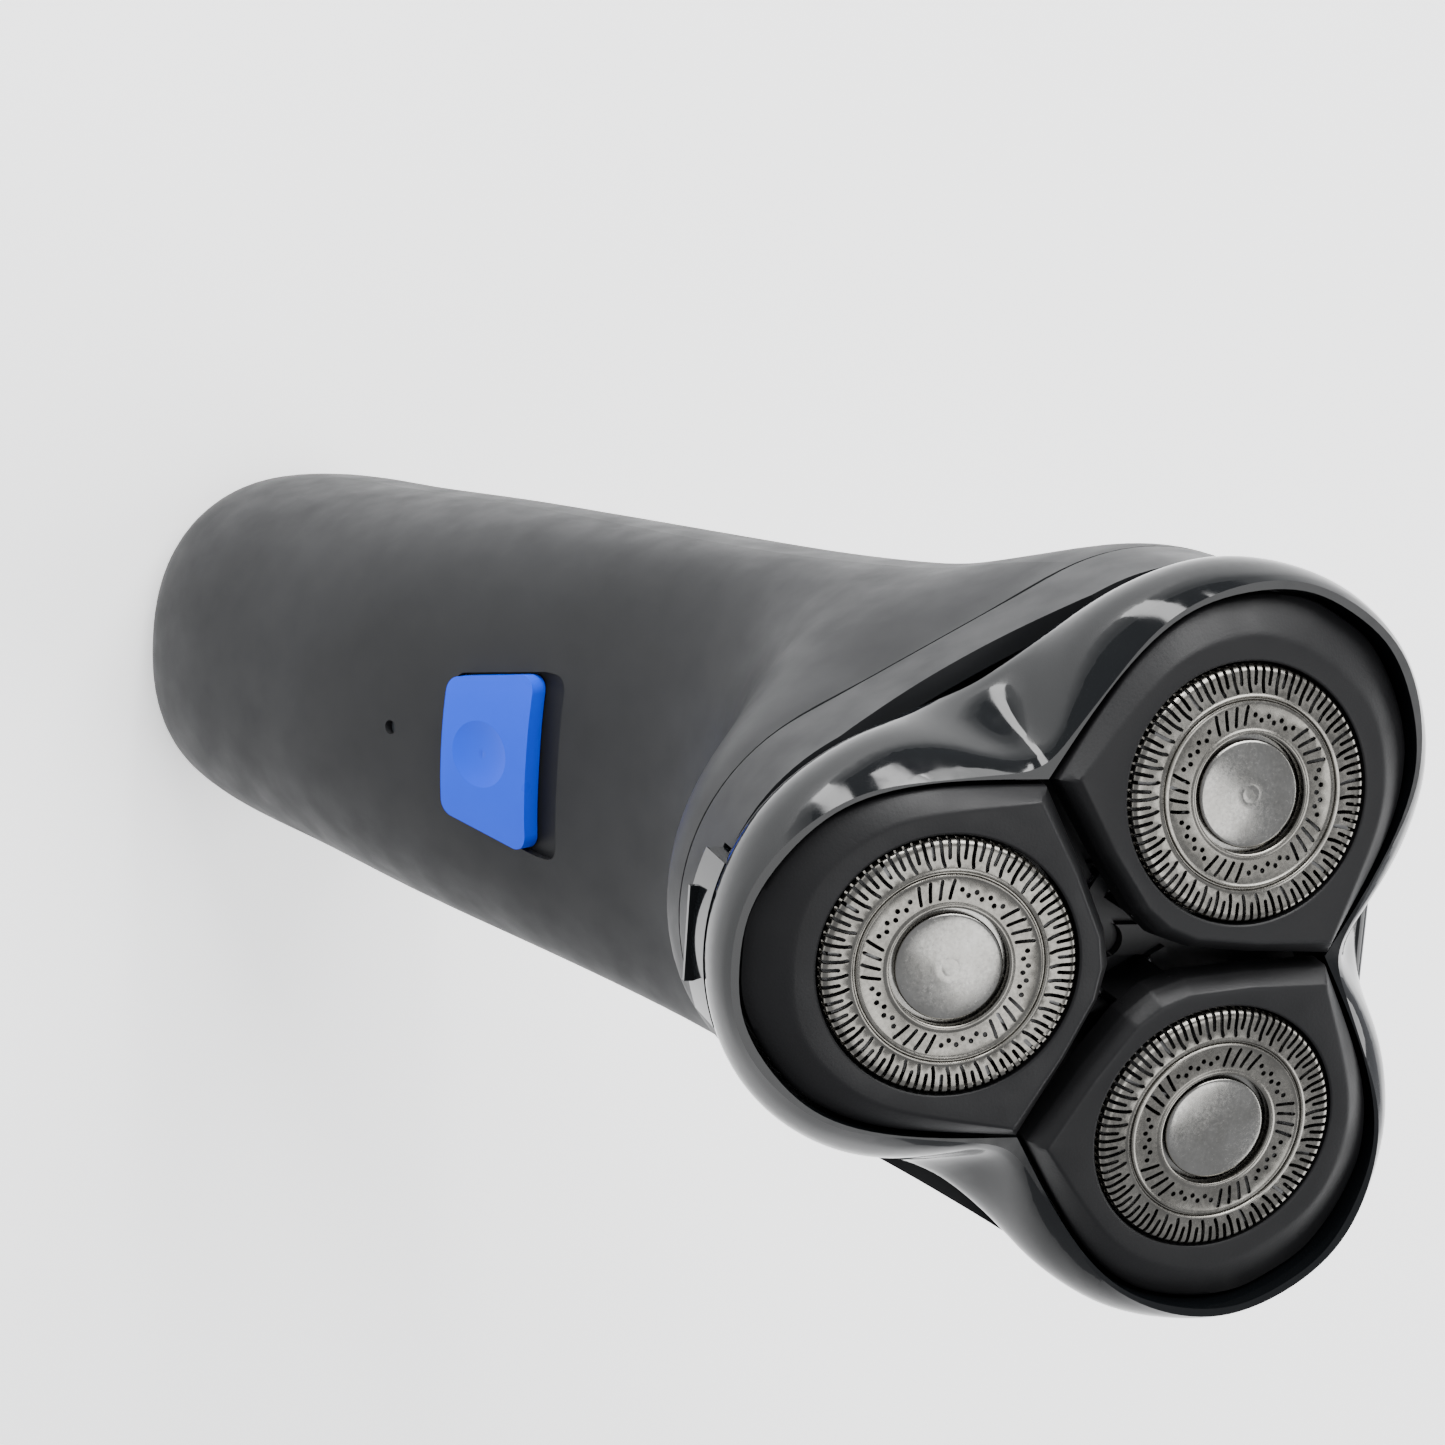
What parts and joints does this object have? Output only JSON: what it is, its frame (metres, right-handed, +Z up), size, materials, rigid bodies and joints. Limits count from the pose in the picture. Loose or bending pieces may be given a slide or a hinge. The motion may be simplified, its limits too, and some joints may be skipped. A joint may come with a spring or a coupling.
{
  "type": "electric shaver",
  "caption": "Cordless rotary shaver: waisted grip with thumb slider, tilting three-lobed head with floating round foils that hinges open, collar and charging socket.",
  "frame": {"origin": "centre of the grip's flat base", "axes": "+Z up the grip, -Y the switch side, +X across; the head leans 22 degrees towards -Y"},
  "size_m": [0.0654, 0.0632, 0.161],
  "materials": {
    "casing_charcoal": "satin moulded plastic",
    "collar_grey": "satin moulded plastic",
    "frame_black": "gloss piano black",
    "petal_black": "satin with a fine texture on the chamfers",
    "switch_blue": "satin gloss",
    "lamp_clear": "clear",
    "foil_steel": "fine satin nickel steel",
    "cap_steel": "polished, faintly clouded",
    "cutter_steel": "ground",
    "plain_steel": "plain",
    "motor_steel": "zinc plated",
    "contact_brass": "plain",
    "gear_white": "natural acetal",
    "inner_black": "moulded",
    "cell_wrap": "printed sleeve, plain",
    "board_green": "lacquered",
    "seal_rubber": "soft"
  },
  "bodies": {
    "root": {"front_casing": "casing_charcoal", "rear_casing": "casing_charcoal", "casing_screws": "plain_steel", "charge_lamp": "lamp_clear", "charging_inlet": "inner_black", "inlet_pins": "contact_brass", "battery_cell": "cell_wrap", "battery_tabs": "plain_steel", "inner_chassis": "inner_black", "circuit_board": "board_green", "switch_block": "inner_black", "neck_collar": "collar_grey", "collar_seal": "seal_rubber", "drive_deck": "inner_black", "tab_spring": "plain_steel", "motor_plate": "inner_black", "gearbox_screws": "plain_steel", "gear_axles": "plain_steel", "motor_can": "motor_steel", "motor_endcap": "inner_black", "spindle_seal_1": "seal_rubber", "spindle_seal_2": "seal_rubber", "spindle_seal_3": "seal_rubber", "hinge_pin": "plain_steel"},
    "slider": {"power_slider": "switch_blue"},
    "tab": {"release_tab": "frame_black"},
    "pinion": {"motor_pinion": "contact_brass"},
    "head": {"head_frame": "frame_black", "petal_carrier": "inner_black", "petal_pins": "plain_steel", "retaining_plate": "inner_black"},
    "knob": {"lock_knob": "inner_black"},
    "gear_1": {"drive_gear_1": "gear_white", "drive_spindle_1": "gear_white"},
    "petal_1": {"head_petal_1": "petal_black"},
    "foil_1": {"shaving_foil_1": "foil_steel", "foil_cap_1": "cap_steel"},
    "cutter_1": {"cutter_1": "cutter_steel", "cutter_hub_1": "gear_white"},
    "gear_2": {"drive_gear_2": "gear_white", "drive_spindle_2": "gear_white"},
    "petal_2": {"head_petal_2": "petal_black"},
    "foil_2": {"shaving_foil_2": "foil_steel", "foil_cap_2": "cap_steel"},
    "cutter_2": {"cutter_2": "cutter_steel", "cutter_hub_2": "gear_white"},
    "gear_3": {"drive_gear_3": "gear_white", "drive_spindle_3": "gear_white"},
    "petal_3": {"head_petal_3": "petal_black"},
    "foil_3": {"shaving_foil_3": "foil_steel", "foil_cap_3": "cap_steel"},
    "cutter_3": {"cutter_3": "cutter_steel", "cutter_hub_3": "gear_white"}
  },
  "joints": [
    {"name": "power_slide", "type": "slide", "parent": "root", "child": "slider", "axis": [0, 0.1994, 0.9799], "range_m": [0, 0.003]},
    {"name": "release_press", "type": "slide", "parent": "root", "child": "tab", "axis": [0, 0.9272, 0.3746], "range_m": [0, 0.001], "stiffness_N_per_m": 800, "springref_m": -0.0005},
    {"name": "head_hinge", "type": "hinge", "parent": "root", "child": "head", "pos_m": [0, 0.01706, 0.15241], "axis": [-1, 0, 0], "range_deg": [0, 90]},
    {"name": "lock_turn", "type": "hinge", "parent": "head", "child": "knob", "pos_m": [0, -0.00597, 0.14483], "axis": [0, -0.3746, 0.9272], "range_deg": [0, 60]},
    {"name": "motor_spin", "type": "hinge", "parent": "root", "child": "pinion", "pos_m": [0, -0.00185, 0.13463], "axis": [0, -0.3746, 0.9272], "continuous": true},
    {"name": "gear_spin_1", "type": "hinge", "parent": "root", "child": "gear_1", "pos_m": [0, -0.01622, 0.12882], "axis": [0, -0.3746, 0.9272], "continuous": true},
    {"name": "petal_tilt_1", "type": "hinge", "parent": "head", "child": "petal_1", "pos_m": [0, -0.0102, 0.14528], "axis": [1, 0, 0], "range_deg": [0, 2], "stiffness_Nm_per_rad": 0.05, "springref_deg": -5.73},
    {"name": "foil_float_1", "type": "slide", "parent": "petal_1", "child": "foil_1", "axis": [0, 0.4695, -0.8829], "range_m": [0, 0.0008], "stiffness_N_per_m": 400, "springref_m": -0.0006},
    {"name": "cutter_spin_1", "type": "hinge", "parent": "foil_1", "child": "cutter_1", "pos_m": [0, -0.02329, 0.14475], "axis": [0, -0.4695, 0.8829], "continuous": true},
    {"name": "gear_spin_2", "type": "hinge", "parent": "root", "child": "gear_2", "pos_m": [0.01342, 0.00534, 0.13753], "axis": [0, -0.3746, 0.9272], "continuous": true},
    {"name": "petal_tilt_2", "type": "hinge", "parent": "head", "child": "petal_2", "pos_m": [0.00325, -0.00498, 0.14738], "axis": [-0.5, 0.803, 0.3244], "range_deg": [0, 2], "stiffness_Nm_per_rad": 0.05, "springref_deg": -5.73},
    {"name": "foil_float_2", "type": "slide", "parent": "petal_2", "child": "foil_2", "axis": [-0.0905, 0.3241, -0.9417], "range_m": [0, 0.0008], "stiffness_N_per_m": 400, "springref_m": -0.0006},
    {"name": "cutter_spin_2", "type": "hinge", "parent": "foil_2", "child": "cutter_2", "pos_m": [0.01393, -0.00092, 0.15379], "axis": [0.0905, -0.3241, 0.9417], "continuous": true},
    {"name": "gear_spin_3", "type": "hinge", "parent": "root", "child": "gear_3", "pos_m": [-0.01342, 0.00534, 0.13753], "axis": [0, -0.3746, 0.9272], "continuous": true},
    {"name": "petal_tilt_3", "type": "hinge", "parent": "head", "child": "petal_3", "pos_m": [-0.00325, -0.00498, 0.14738], "axis": [-0.5, -0.803, -0.3244], "range_deg": [0, 2], "stiffness_Nm_per_rad": 0.05, "springref_deg": -5.73},
    {"name": "foil_float_3", "type": "slide", "parent": "petal_3", "child": "foil_3", "axis": [0.0905, 0.3241, -0.9417], "range_m": [0, 0.0008], "stiffness_N_per_m": 400, "springref_m": -0.0006},
    {"name": "cutter_spin_3", "type": "hinge", "parent": "foil_3", "child": "cutter_3", "pos_m": [-0.01393, -0.00092, 0.15379], "axis": [-0.0905, -0.3241, 0.9417], "continuous": true}
  ],
  "couplings": [
    {"joint": "gear_spin_1", "follows": "motor_spin", "ratio": -0.29167},
    {"joint": "cutter_spin_1", "follows": "motor_spin", "ratio": -0.29167},
    {"joint": "gear_spin_2", "follows": "motor_spin", "ratio": -0.29167},
    {"joint": "cutter_spin_2", "follows": "motor_spin", "ratio": -0.29167},
    {"joint": "gear_spin_3", "follows": "motor_spin", "ratio": -0.29167},
    {"joint": "cutter_spin_3", "follows": "motor_spin", "ratio": -0.29167}
  ]
}
